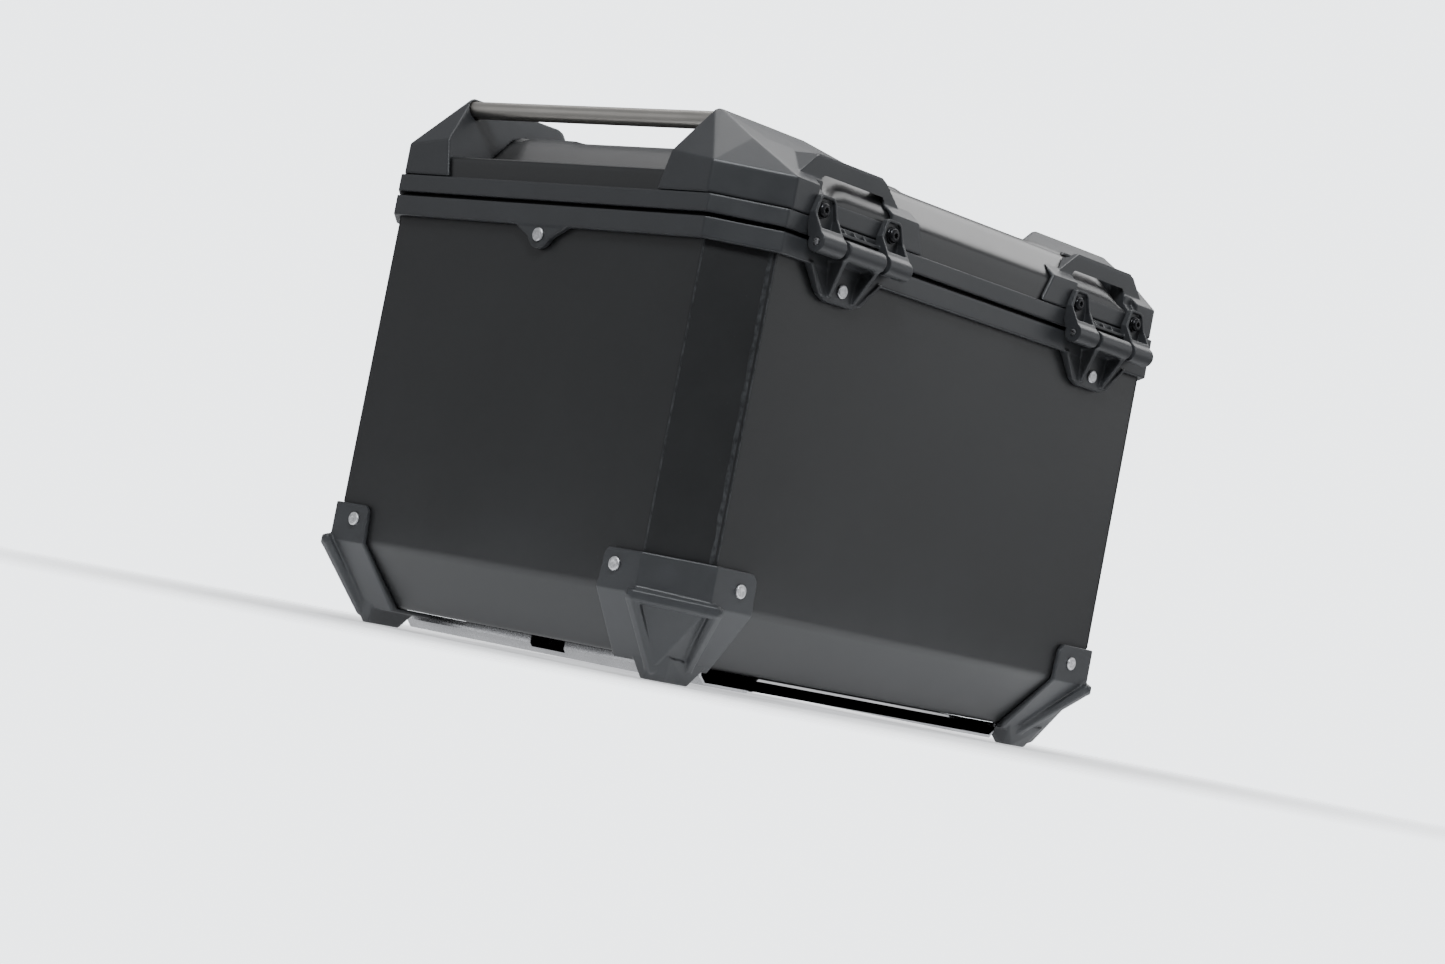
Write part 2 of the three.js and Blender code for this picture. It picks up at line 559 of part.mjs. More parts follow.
const flap = (cx) => {
  const side = [
    [-160.3, 268], [-160.3, 229], [-162, 225.2], [-168.2, 221.8], [-171.8, 222.6], [-172, 225],
    [-168.6, 230], [-169.4, 240], [-169.6, 258], [-169, 270],
  ];
  const body = barYZ(side, cx - 18.8, cx + 18.8);
  const barrel = rod('x', 5.2, cx - 18.8, cx + 18.8, FLAP_PIN_Y, FLAP_PIN_Z, 24);
  const grip = box(cx - 9, cx + 9, -175, -168.3, 252.6, 262);
  const rosette = rod('y', 10.5, -171, -168, cx, LOCK_Z, 32);
  const bore = rod('y', 7.3, -180, -150, cx, LOCK_Z, 28);
  const pinHole = rod('x', PIN_R + 0.12, cx - 30, cx + 30, FLAP_PIN_Y, FLAP_PIN_Z, 20);
  const trims = [-1, 1].map((s) => hull([
    [cx + s * 19, -150, 218], [cx + s * 19, -180, 218], [cx + s * 13, -150, 218], [cx + s * 13, -180, 218],
    [cx + s * 19, -150, 231], [cx + s * 19, -180, 231],
  ]));
  return cut(union([body, barrel, rosette]), [grip, bore, pinHole, ...trims]);
};
const lock = (cx) => {
  const barrel = rod('y', 7, -170.4, -161.2, cx, LOCK_Z, 28);
  const cam = box(cx - 2.5, cx + 2.5, -161.3, -160.3, LOCK_Z - 6, LOCK_Z + 6);
  const keyway = box(cx - 0.8, cx + 0.8, -172, -167.4, LOCK_Z - 3.8, LOCK_Z + 3.8);
  return cut(union([barrel, cam]), [keyway]);
};
for (const [name, s] of [['right', 1], ['left', -1]]) {
  const cx = s * HINGE_X;
  addNode(`latch_keeper_${name}`, keeper(cx), BLACK_STEEL);
  addNode(`latch_mount_${name}`, latchMount(cx), PLASTIC);
  addNode(`latch_pin_${name}`, rod('x', PIN_R, cx - 24.6, cx + 24.6, FLAP_PIN_Y, FLAP_PIN_Z, 20), STEEL);
  addNode(`latch_screw_${name}_outer`, screwY(cx + s * SCREW_X, -1, 158.8), BLACK_STEEL);
  addNode(`latch_screw_${name}_inner`, screwY(cx - s * SCREW_X, -1, 158.8), BLACK_STEEL);
  addNode(`latch_flap_${name}`, flap(cx), PLASTIC);
  addNode(`lock_cylinder_${name}`, lock(cx), ALU);
}

export default group;
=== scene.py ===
"""Looks of a motorcycle top case: folded sheet, pressed lid, moulded trim, fasteners, light and camera.

Metres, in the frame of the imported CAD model: X is the width, +Y the hinge side, +Z up.
"""
import json
import math

import bmesh
import bpy
from mathutils import Matrix, Vector, noise


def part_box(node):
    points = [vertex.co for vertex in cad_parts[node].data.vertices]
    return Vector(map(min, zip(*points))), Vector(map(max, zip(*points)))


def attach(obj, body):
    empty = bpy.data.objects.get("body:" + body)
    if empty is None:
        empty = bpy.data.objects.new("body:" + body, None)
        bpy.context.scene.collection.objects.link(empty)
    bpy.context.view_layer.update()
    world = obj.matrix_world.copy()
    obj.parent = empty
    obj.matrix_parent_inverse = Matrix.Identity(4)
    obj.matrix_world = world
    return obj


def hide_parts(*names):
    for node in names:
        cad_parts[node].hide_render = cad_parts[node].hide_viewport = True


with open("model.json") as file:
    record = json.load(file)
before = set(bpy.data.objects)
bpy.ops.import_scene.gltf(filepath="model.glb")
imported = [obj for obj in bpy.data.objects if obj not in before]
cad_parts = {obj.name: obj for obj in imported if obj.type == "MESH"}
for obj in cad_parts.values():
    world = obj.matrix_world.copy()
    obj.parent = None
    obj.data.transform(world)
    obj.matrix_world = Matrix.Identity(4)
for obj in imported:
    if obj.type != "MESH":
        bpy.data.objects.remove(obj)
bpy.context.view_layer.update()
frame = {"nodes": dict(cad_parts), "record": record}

MM = 0.001
CORNERS = {"right_rear": (1, 1), "left_rear": (-1, 1), "right_front": (1, -1), "left_front": (-1, -1)}
SIDES = {"right": 1, "left": -1}

# ---------------------------------------------------------------- sizes, in millimetres
HALF_W, HALF_D = 208.0, 152.5  # folded box
CORNER_LEG = 29.0  # leg of the vertical corner chamfer
FLOOR_Z, FOLD_Z, SHELL_TOP = 12.0, 46.0, 249.4
FLOOR_X, FLOOR_Y = 178.0, 122.6
SHEET = 1.5
FOLD_RADIUS = 2.6
LID_X, LID_Y, LID_LEG = 210.0, 154.5, 36.0  # lid pressing
LID_EDGE_Z, LEDGE_Z, LID_TOP_Z = 261.0, 280.7, 303.8
LID_WALL_ZS = (LID_EDGE_Z, 270, 276)  # rings up the lid's wall
LID_EDGE_ROLL = 3  # corner radius in plan, and the width of the rolled upper edge
BEVEL_FOOT_X, BEVEL_FOOT_Z = 179, 283  # where the raised middle's bevels start
BEVEL_SLOPE_Y, BEVEL_SLOPE_X, BEVEL_SLOPE_DIAGONAL = 18.8 / 16.3, 18.8 / 21.5, 0.892
BEVEL_CORNER_CUT = 38  # taken off x + y at the raised middle's corners
PAD_HEIGHT, PAD_RAMP = 2.2, 13  # shallow raised pads, and the width of their sloping edge
SEAM_CLEARANCE = (22.5, 3)  # seam's ends from the lower fold and from the shell's top

# the stage, in metres
STAGE_RADIUS = 40.0
STAGE_FADE = (0.29, 0.65)  # solid inside the first radius, gone beyond the second
FLOOR_GLOW = 0.68
BACKDROP_SEEN = 3.6  # strength where the camera sees it directly
BACKDROP_FELT, BACKDROP_DIM = 0.36, 0.05  # strength as a light, and towards DIM_SIDE
DIM_SIDE = (0.68, 0.68, -0.27)
DIM_EDGE = (0.45, 0.92)


# ---------------------------------------------------------------- materials
def new_material(name, colour, roughness, metallic=0.0):
    """A Principled material, with its node tree helpers."""
    mat = bpy.data.materials.new(name)
    mat.use_nodes = True
    shader = mat.node_tree.nodes["Principled BSDF"]
    shader.inputs["Base Color"].default_value = (*colour, 1)
    shader.inputs["Roughness"].default_value = roughness
    shader.inputs["Metallic"].default_value = metallic
    return mat, shader


def node(mat, kind, inputs=None, **settings):
    """Adds a shader node. An input's value is a number, a colour or another node's output socket."""
    made = mat.node_tree.nodes.new(kind)
    for key, value in settings.items():
        setattr(made, key, value)
    for key, value in (inputs or {}).items():
        socket = made.inputs[key]
        if isinstance(value, bpy.types.NodeSocket):
            mat.node_tree.links.new(value, socket)
        else:
            socket.default_value = value
    return made


def place_of(mat, stretch=(1, 1, 1)):
    """Object coordinates in metres, stretched along an axis for brushed or drawn finishes."""
    coords = node(mat, "ShaderNodeTexCoord")
    mapping = node(mat, "ShaderNodeMapping", {"Vector": coords.outputs["Object"], "Scale": stretch})
    return mapping.outputs["Vector"]


def grain(mat, vector, scale, detail=4.0, roughness=0.6):
    made = node(
        mat, "ShaderNodeTexNoise",
        {"Vector": vector, "Scale": scale, "Detail": detail, "Roughness": roughness},
    )
    return made.outputs["Fac"]


def ramp(mat, value, low, high, low_out, high_out):
    made = node(
        mat, "ShaderNodeMapRange",
        {"Value": value, "From Min": low, "From Max": high, "To Min": low_out, "To Max": high_out},
        clamp=True,
    )
    return made.outputs["Result"]


def tint(mat, factor, a, b):
    """Colour a to colour b by a factor socket."""
    mix = node(mat, "ShaderNodeMix", {"Factor": factor}, data_type="RGBA")
    mix.inputs["A"].default_value = (*a, 1)
    mix.inputs["B"].default_value = (*b, 1)
    return mix.outputs["Result"]


def bump(mat, height, distance, strength=1.0, under=None):
    made = node(mat, "ShaderNodeBump", {"Height": height, "Distance": distance, "Strength": strength})
    if under:
        mat.node_tree.links.new(under, made.inputs["Normal"])
    return made.outputs["Normal"]


def finish(mat, shader, colour=None, roughness=None, normal=None):
    for key, socket in (("Base Color", colour), ("Roughness", roughness), ("Normal", normal)):
        if socket:
            mat.node_tree.links.new(socket, shader.inputs[key])
    return mat


def powder_coat(name, smoothest, roughest):
    """Fine textured anthracite powder coat: orange peel, faint clouds and a few dust specks."""
    mat, shader = new_material(name, (0.013, 0.0135, 0.014), 0.4)
    where = place_of(mat)
    clouds = grain(mat, where, 9, 5)
    peel = grain(mat, where, 1500, 3, 0.5)
    specks = node(mat, "ShaderNodeTexVoronoi", {"Vector": where, "Scale": 160})
    dust = ramp(mat, specks.outputs["Distance"], 0.02, 0.05, 1, 0)
    base = tint(mat, ramp(mat, clouds, 0.3, 0.7, 0, 1), (0.011, 0.0113, 0.0118), (0.0155, 0.016, 0.0168))
    thin_dust = node(mat, "ShaderNodeMath", {0: dust, 1: 0.25}, operation="MULTIPLY")
    dusty = node(mat, "ShaderNodeMix", {"Factor": thin_dust.outputs[0], "A": base}, data_type="RGBA")
    dusty.inputs["B"].default_value = (0.12, 0.12, 0.12, 1)
    sheen = ramp(mat, clouds, 0.25, 0.75, smoothest, roughest)
    return finish(mat, shader, dusty.outputs["Result"], sheen, bump(mat, peel, 0.00006, 0.6))


def painted_shade_chamfer_coat():
    """The corner chamfers: a copy of the powder coat, smoother, with faint rubbed patches, and painted nearly
    black and bluer as painted shade for the dark surroundings it reflects.
    """
    mat, shader = new_material("painted_shade_chamfer_coat", (0.006, 0.0062, 0.0075), 0.28)
    shader.inputs["Specular IOR Level"].default_value = 0.36
    where = place_of(mat)
    rubs = grain(mat, where, 38, 6, 0.7)
    peel = grain(mat, where, 600, 2, 0.5)
    base = tint(mat, ramp(mat, rubs, 0.45, 0.7, 0, 1), (0.0025, 0.0027, 0.004), (0.0075, 0.008, 0.011))
    return finish(mat, shader, base, ramp(mat, rubs, 0.3, 0.7, 0.12, 0.3), bump(mat, peel, 0.00003, 0.4))


def moulded_plastic():
    """Satin glass-filled nylon: spark-eroded grain over slightly uneven colour."""
    mat, shader = new_material("moulded_plastic", (0.03, 0.0315, 0.034), 0.42)
    where = place_of(mat)
    patches = grain(mat, where, 22, 4)
    cells = node(mat, "ShaderNodeTexVoronoi", {"Vector": where, "Scale": 1400})
    fine = grain(mat, where, 2600, 2)
    base = tint(mat, ramp(mat, patches, 0.3, 0.7, 0, 1), (0.026, 0.0273, 0.0295), (0.034, 0.0357, 0.0385))
    rough = ramp(mat, patches, 0.3, 0.7, 0.38, 0.47)
    coarse = bump(mat, cells.outputs["Distance"], 0.00005, 0.35)
    return finish(mat, shader, base, rough, bump(mat, fine, 0.00003, 0.4, coarse))


def brushed(name, colour, darker, roughness, stretch, fine=900):
    """Brushed or drawn metal, its lines running along the axis that isn't stretched."""
    mat, shader = new_material(name, colour, roughness, 1.0)
    where = place_of(mat, stretch)
    lines = grain(mat, where, fine, 3, 0.55)
    clouds = grain(mat, place_of(mat), 30, 3)
    base = tint(mat, ramp(mat, clouds, 0.3, 0.7, 0, 1), darker, colour)
    rough = ramp(mat, lines, 0.3, 0.7, roughness - 0.06, roughness + 0.08)
    return finish(mat, shader, base, rough, bump(mat, lines, 0.00002, 0.5))


def rivet_metal():
    mat, shader = new_material("rivet_metal", (0.5, 0.5, 0.505), 0.45, 1.0)
    where = place_of(mat)
    mottle = grain(mat, where, 700, 4, 0.65)
    base = tint(mat, ramp(mat, mottle, 0.35, 0.65, 0, 1), (0.5, 0.5, 0.51), (0.78, 0.78, 0.79))
    return finish(mat, shader, base, ramp(mat, mottle, 0.3, 0.7, 0.35, 0.6), bump(mat, mottle, 0.00008, 0.5))


def black_zinc():
    mat, shader = new_material("black_zinc", (0.012, 0.012, 0.014), 0.28, 0.55)
    where = place_of(mat)
    wear = grain(mat, where, 420, 4, 0.6)
    base = tint(mat, ramp(mat, wear, 0.4, 0.75, 0, 1), (0.01, 0.01, 0.012), (0.03, 0.03, 0.033))
    return finish(mat, shader, base, ramp(mat, wear, 0.3, 0.7, 0.2, 0.38), bump(mat, wear, 0.00003, 0.4))


def sponge_rubber():
    mat, shader = new_material("sponge_rubber", (0.006, 0.006, 0.006), 0.8)
    where = place_of(mat)
    pores = grain(mat, where, 1900, 3)
    base = tint(mat, pores, (0.004, 0.004, 0.004), (0.012, 0.012, 0.012))
    return finish(mat, shader, base, ramp(mat, pores, 0.3, 0.7, 0.7, 0.9), bump(mat, pores, 0.0001, 0.6))


def sealant_and_highlight_coat():
    # the sealant's own colour; also put on the seam's lip and fold strips as lighter lines that paint their
    # highlights
    mat, shader = new_material("sealant_bead", (0.02, 0.021, 0.022), 0.4)
    where = place_of(mat)
    lumps = grain(mat, where, 260, 4, 0.6)
    base = tint(mat, ramp(mat, lumps, 0.35, 0.65, 0, 1), (0.014, 0.015, 0.016), (0.04, 0.042, 0.044))
    return finish(mat, shader, base, ramp(mat, lumps, 0.3, 0.7, 0.3, 0.5), bump(mat, lumps, 0.0003, 0.5))


POWDER = powder_coat("powder_coat", 0.36, 0.44)
LID_POWDER = powder_coat("lid_powder_coat", 0.27, 0.34)
# the chamfers' coat, darkened as painted shade
CHAMFER_PAINTED_SHADE = painted_shade_chamfer_coat()
PLASTIC = moulded_plastic()
STAINLESS = brushed("stainless", (0.56, 0.56, 0.57), (0.46, 0.46, 0.47), 0.28, (0.04, 1, 1))
ANODISED = brushed("titanium_anodised", (0.52, 0.5, 0.465), (0.45, 0.432, 0.402), 0.36, (1, 0.02, 1), 1500)
DIE_CAST = brushed("lock_metal", (0.5, 0.5, 0.51), (0.4, 0.4, 0.41), 0.32, (1, 1, 1), 500)
RIVET = rivet_metal()
BLACK_ZINC = black_zinc()
RUBBER = sponge_rubber()
# sealant, and the painted highlight lines at the corner seams
SEALANT_AND_HIGHLIGHT = sealant_and_highlight_coat()

BODY_OF = {n: body for body, nodes in frame["record"]["behaviour"]["bodies"].items() for n in nodes}


# ---------------------------------------------------------------- mesh helpers
def to_mesh(name, points, faces):
    mesh = bpy.data.meshes.new(name)
    mesh.from_pydata([Vector(p) for p in points], [], faces)
    mesh.update()
    return mesh


def run_modifiers(mesh, *steps):
    """The mesh after the given (modifier type, settings) steps, as a new mesh."""
    carrier = bpy.data.objects.new("carrier", mesh)
    bpy.context.scene.collection.objects.link(carrier)
    for kind, settings in steps:
        mod = carrier.modifiers.new(kind, kind)
        for key, value in settings.items():
            setattr(mod, key, value)
    depsgraph = bpy.context.evaluated_depsgraph_get()
    made = bpy.data.meshes.new_from_object(carrier.evaluated_get(depsgraph))
    bpy.data.objects.remove(carrier)
    return made


def piece(name, mesh, materials, stands_for, body=None, smooth=40):
    """A finished piece that rides with, and is shown instead of, the CAD nodes it stands for."""
    mesh.name = name
    mesh.materials.clear()
    for mat in materials if isinstance(materials, (list, tuple)) else [materials]:
        mesh.materials.append(mat)
    mesh.shade_smooth()
    if smooth:
        mesh.set_sharp_from_angle(angle=math.radians(smooth))
    made = bpy.data.objects.new(name, mesh)
    bpy.context.scene.collection.objects.link(made)
    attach(made, body or BODY_OF[stands_for[0]])
    if stands_for:
        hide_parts(*stands_for)
    return made


def closed_copy(name):
    """A CAD node's mesh with its corner points joined and its flat faces whole."""
    bm = bmesh.new()
    bm.from_mesh(frame["nodes"][name].data)
    bmesh.ops.remove_doubles(bm, verts=bm.verts, dist=2e-6)
    bmesh.ops.dissolve_limit(bm, angle_limit=math.radians(0.6), verts=bm.verts, edges=bm.edges)
    mesh = bpy.data.meshes.new(name + "_copy")
    bm.to_mesh(mesh)
    bm.free()
    return mesh


def mirrored_copy(mesh, flip_x, flip_y):
    """A copy of a mesh mirrored in the planes x = 0 and y = 0 as asked."""
    made = mesh.copy()
    made.transform(Matrix.Diagonal((-1 if flip_x else 1, -1 if flip_y else 1, 1, 1)))
    if flip_x != flip_y:
        made.flip_normals()
    return made


THICKEN = ("SOLIDIFY", {"thickness": SHEET * MM, "offset": -1})


def moulded(name, grid, rounds, keep):
    """A CAD node as an injection moulding: every edge and corner inside and out gets a small radius."""
    return run_modifiers(
        closed_copy(name),
        ("REMESH", {"mode": "VOXEL", "voxel_size": grid * MM, "use_smooth_shade": True}),
        ("SMOOTH", {"factor": 0.5, "iterations": rounds}),
        ("DECIMATE", {"ratio": keep}),
    )


def edged(name, width, segments=2, angle=25):
    """A CAD node as a cut and deburred part: its sharp edges get a small round bevel."""
    return run_modifiers(
        closed_copy(name),
        ("BEVEL", {"width": width * MM, "segments": segments, "limit_method": "ANGLE",
                   "angle_limit": math.radians(angle), "harden_normals": False}),
    )


def loft(rings, cap_first=False, cap_last=False, around=False):
    """Faces between rings of equal length; around joins the last ring to the first."""
    count = len(rings[0])
    points = [p for ring in rings for p in ring]
    pairs = [(i, i + 1) for i in range(len(rings) - 1)]
    if around:
        pairs.append((len(rings) - 1, 0))
    faces = []
    for a, b in pairs:
        for k in range(count):
            n = (k + 1) % count
            faces.append((a * count + k, a * count + n, b * count + n, b * count + k))
    if cap_first:
        faces.append(tuple(reversed(range(count))))
    if cap_last:
        faces.append(tuple((len(rings) - 1) * count + k for k in range(count)))
    return points, faces


def turned(profile, place, segments=40, lobes=()):
    """A turned part: profile points (radius, height) in mm, from one end of the axis to the other.

    Rings listed in lobes have six lobes, as a hexalobular drive has."""
    rings = []
    for i, (radius, height) in enumerate(profile):
        ring = []
        for k in range(segments):
            a = 2 * math.pi * k / segments
            r = max(radius, 0.02) * (1 + (0.17 * math.cos(6 * a) if i in lobes else 0))
            ring.append(place @ Vector((r * MM * math.cos(a), r * MM * math.sin(a), height * MM)))
        rings.append(ring)
    points, faces = loft(rings, cap_first=True, cap_last=True)
    return to_mesh("turned", points, faces)


def axis_place(origin, direction):
    """Puts the turned part's start at origin, its axis along direction."""
    spin = Vector(direction).to_track_quat("Z", "Y").to_matrix().to_4x4()
    return Matrix.Translation(origin) @ spin


def joined(*meshes):
    bm = bmesh.new()
    for mesh in meshes:
        bm.from_mesh(mesh)
    made = bpy.data.meshes.new("joined")
    bm.to_mesh(made)
    bm.free()
    return made


def chamfered_ring(half_x, half_y, leg, z, radius=0.0, steps=4, per_side=1):
    """Points round a rectangle with chamfered corners, each of the eight corners rounded by radius."""
    corners = [
        (half_x, -(half_y - leg)), (half_x, half_y - leg),
        (half_x - leg, half_y), (-(half_x - leg), half_y),
        (-half_x, half_y - leg), (-half_x, -(half_y - leg)),
        (-(half_x - leg), -half_y), (half_x - leg, -half_y),
    ]
    points = []
    reach = radius * math.tan(math.radians(22.5))
    for i, corner in enumerate(corners):
        here = Vector(corner)
        before = (Vector(corners[i - 1]) - here).normalized()
        after = (Vector(corners[(i + 1) % 8]) - here).normalized()
        start, end = here + before * reach, here + after * reach
        for k in range(steps + 1):
            t = k / steps
            bow = start * (1 - t) ** 2 + here * 2 * t * (1 - t) + end * t ** 2
            points.append(Vector((bow.x, bow.y, z)) * MM)
        following = Vector(corners[(i + 1) % 8]) - after * reach
        for k in range(1, per_side):
            p = end.lerp(following, k / per_side)
            points.append(Vector((p.x, p.y, z)) * MM)
    return points


# ---------------------------------------------------------------- folded box
def between(a, b, t):
    return [p.lerp(q, t) for p, q in zip(a, b)]


def rounded_fold(below, fold, above, steps=4):
    """Rings of a bend that starts at below, turns at fold and ends at above."""
    out = []
    for k in range(steps + 1):
        t = k / steps
        out.append([
            a * (1 - t) ** 2 + b * 2 * t * (1 - t) + c * t ** 2 for a, b, c in zip(below, fold, above)
        ])
    return out


def box_ring(offset, z):
    return chamfered_ring(HALF_W + offset, HALF_D + offset, CORNER_LEG + 0.586 * offset, z, FOLD_RADIUS)


def folded_shell():
    """Floor, four lower bevels and eight walls of one folded sheet, with a radius along every fold."""
    floor = chamfered_ring(FLOOR_X, FLOOR_Y, 1.2, FLOOR_Z, 0.8)
    fold = box_ring(0, FOLD_Z)
    top = box_ring(0, SHELL_TOP)
    inner_floor = chamfered_ring(FLOOR_X - 4, FLOOR_Y - 4, 1.2, FLOOR_Z, 0.8)
    rings = [inner_floor]
    rings += rounded_fold(between(floor, inner_floor, 0.6), floor, between(floor, fold, 0.06), 3)
    rings += rounded_fold(between(fold, floor, 0.07), fold, between(fold, top, 0.016))
    rings += [between(fold, top, k / 4) for k in range(1, 5)]
    points, faces = loft(rings, cap_first=True)
    mesh = run_modifiers(to_mesh("shell", points, faces), THICKEN)
    # faces on the corner chamfers get material 1, the coat darkened as painted shade
    for face in mesh.polygons:
        sideways = abs(abs(face.normal.x) - abs(face.normal.y))
        if abs(face.normal.z) < 0.2 and sideways < 0.35:
            face.material_index = 1
    return mesh


piece("case_shell", folded_shell(), [POWDER, CHAMFER_PAINTED_SHADE], ["base_shell"], smooth=30)


def corner_seam(sx, sy):
    """The joint at a corner chamfer: a lumpy bead of sealant, a dark gap, the sheet's rolled edge coloured
    lighter in part as painted highlight, and a lighter strip along the fold on the chamfer's other side that
    is a painted highlight. Each is (offset, half width, height, lumpiness)."""
    start = Vector((HALF_W - CORNER_LEG, HALF_D, 0))
    along = Vector((1, -1, 0)).normalized()
    out = Vector((1, 1, 0)).normalized()
    bottom, top, steps = FOLD_Z + SEAM_CLEARANCE[0], SHELL_TOP - SEAM_CLEARANCE[1], 90
    profiles = {
        "bead": (3.1, 1.35, 0.42, 0.3),
        "lip": (0.25, 0.5, 0.55, 0.0),
        "fold": (CORNER_LEG * math.sqrt(2) - 0.5, 0.55, 0.4, 0.0),
    }
    made = {}
    for label, (offset, half_width, height, lump) in profiles.items():
        rings = []
        for i in range(steps + 1):
            z = bottom + (top - bottom) * i / steps
            wave = noise.noise(Vector((z * 0.09, sx * 7.0, sy * 3.0)))
            half = half_width * (1 + lump * wave)
            ring = []
            for k in range(9):
                a = math.pi * k / 8
                across = offset + half * math.cos(a) + lump * wave
                lift = height * (1 + lump * wave) * math.sin(a) - 0.15
                p = start + along * across + out * lift
                ring.append(Vector((p.x * sx, p.y * sy, z)) * MM)
            rings.append(ring if sx * sy > 0 else ring[::-1])
        points, faces = loft(rings, cap_first=True, cap_last=True)
        made[label] = to_mesh(label, points, faces)
    return made


for corner, (sx, sy) in CORNERS.items():
    seam = corner_seam(sx, sy)
    piece(f"sealant_bead_{corner}", seam["bead"], SEALANT_AND_HIGHLIGHT, [], body="base")
    # the lip and the fold strip take the lighter sealant colour as painted highlight
    piece(f"sheet_lip_and_highlight_{corner}", seam["lip"], SEALANT_AND_HIGHLIGHT, [], body="base")
    piece(f"fold_painted_highlight_{corner}", seam["fold"], SEALANT_AND_HIGHLIGHT, [], body="base")


# ---------------------------------------------------------------- lid pressing
def soft_min(a, b, radius):
    h = max(radius - abs(a - b), 0) / radius
    return min(a, b) - h * h * radius / 4


def soft_max(a, b, radius):
    return -soft_min(-a, -b, radius)


def lid_height(x, y):
    """Outer height of the pressing over a point of its plan."""
    x, y = abs(x), abs(y)
    diagonal = (x + y) / math.sqrt(2)
    middle = LID_TOP_Z
    cut = (BEVEL_FOOT_X + LID_Y - BEVEL_CORNER_CUT) / math.sqrt(2)
    middle = soft_min(middle, BEVEL_FOOT_Z + (LID_Y - y) * BEVEL_SLOPE_Y, 5)
    middle = soft_min(middle, BEVEL_FOOT_Z + (BEVEL_FOOT_X - x) * BEVEL_SLOPE_X, 5)
    middle = soft_min(middle, BEVEL_FOOT_Z + (cut - diagonal) * BEVEL_SLOPE_DIAGONAL, 5)
    # a pad spans x 72 to 149 and y 50 to 129.5, with its outer corner cut off
    edge = min(x - 72, 149 - x, y - 50, 129.5 - y, 253 - (x + y))
    raised = LID_TOP_Z + PAD_HEIGHT * min(max((edge + 12) / PAD_RAMP, 0), 1)
    if middle > LID_TOP_Z - 0.4:
        middle = soft_max(middle, raised, 0.8)
    return soft_max(middle, LEDGE_Z, 1.5)


def pressed_lid():
    """One pressed sheet: low side ledges, bevelled raised middle, four shallow pads and the walls."""
    insets = [0, 0.25, 0.8, 1.7, 3, 5, 7, 9, 11, 13, 15, 16.5, 18, 19.5, 21, 22.5, 24, 25.5, 27, 28.5, 30, 32]
    insets += [32 + 3.6 * k for k in range(1, 34)]
    rings = [chamfered_ring(LID_X, LID_Y, LID_LEG, z, LID_EDGE_ROLL, 4, 44) for z in LID_WALL_ZS]
    for inset in insets:
        share = inset / LID_Y
        left = 1 - share
        outline = chamfered_ring(LID_X * left, LID_Y * left, LID_LEG * left, 0, LID_EDGE_ROLL * left, 4, 44)
        roll = 2.2 * (1 - math.sqrt(1 - max(0.0, 1 - inset / LID_EDGE_ROLL) ** 2))
        ring = []
        for p in outline:
            ring.append(Vector((p.x, p.y, (lid_height(p.x / MM, p.y / MM) - roll) * MM)))
        rings.append(ring)
    points, faces = loft(rings, cap_last=True)
    return run_modifiers(to_mesh("lid", points, faces), THICKEN)


piece("lid_pressing", pressed_lid(), LID_POWDER, ["lid_panel"], smooth=60)


# ---------------------------------------------------------------- rims and seal
def bulb_seal():
    """Sponge bulb seal that runs round the base rim's groove."""
    rings = []
    for k in range(14):
        a = 2 * math.pi * k / 14
        offset = -0.6 + 1.7 * math.cos(a)
        height = 254.7 + 2.0 * math.sin(a)
        rings.append(chamfered_ring(
            HALF_W + offset, HALF_D + offset, CORNER_LEG + 0.586 * offset, height, 6, 6))
    points, faces = loft(rings, around=True)
    return to_mesh("seal", points, faces)


piece("bulb_seal", bulb_seal(), RUBBER, ["rim_seal"])
piece("base_rim_moulding", moulded("base_rim", 0.6, 3, 0.2), PLASTIC, ["base_rim"])
piece("lid_rim_moulding", moulded("lid_rim", 0.6, 3, 0.2), PLASTIC, ["lid_rim"])

# ---------------------------------------------------------------- mouldings at the corners
for prefix, grid, rounds, keep in (("protector", 0.55, 8, 0.25), ("lid_corner", 0.6, 6, 0.2)):
    pattern = moulded(f"{prefix}_right_rear", grid, rounds, keep)
    for corner, (sx, sy) in CORNERS.items():
        mesh = mirrored_copy(pattern, sx < 0, sy < 0)
        piece(f"{prefix}_moulding_{corner}", mesh, PLASTIC, [f"{prefix}_{corner}"])

# ---------------------------------------------------------------- hinges and latches
for prefix, grid, rounds, keep in (
    ("hinge_leaf", 0.35, 3, 0.25), ("latch_mount", 0.35, 3, 0.25), ("latch_flap", 0.35, 3, 0.25),
):
    pattern = moulded(f"{prefix}_right", grid, rounds, keep)
    for side, sx in SIDES.items():
        mesh = mirrored_copy(pattern, sx < 0, False)
        piece(f"{prefix}_moulding_{side}", mesh, PLASTIC, [f"{prefix}_{side}"])
for side in SIDES:
    piece(f"keeper_{side}", edged(f"latch_keeper_{side}", 0.5), BLACK_ZINC, [f"latch_keeper_{side}"])
    piece(f"lock_barrel_{side}", edged(f"lock_cylinder_{side}", 0.25), DIE_CAST, [f"lock_cylinder_{side}"])


# ---------------------------------------------------------------- rivets, screws, pins and bars
def middle_of(name):
    low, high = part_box(name)
    return (low + high) / 2, (high - low) / MM


def outer_end(name, axis):
    """Middle of a node's outer end along an axis, the outward direction and the length in mm."""
    centre, size = middle_of(name)
    sign = math.copysign(1, centre[axis])
    direction = Vector((0, 0, 0))
    direction[axis] = sign
    end = centre.copy()
    end[axis] += sign * size[axis] / 2 * MM
    return end, direction, size[axis]


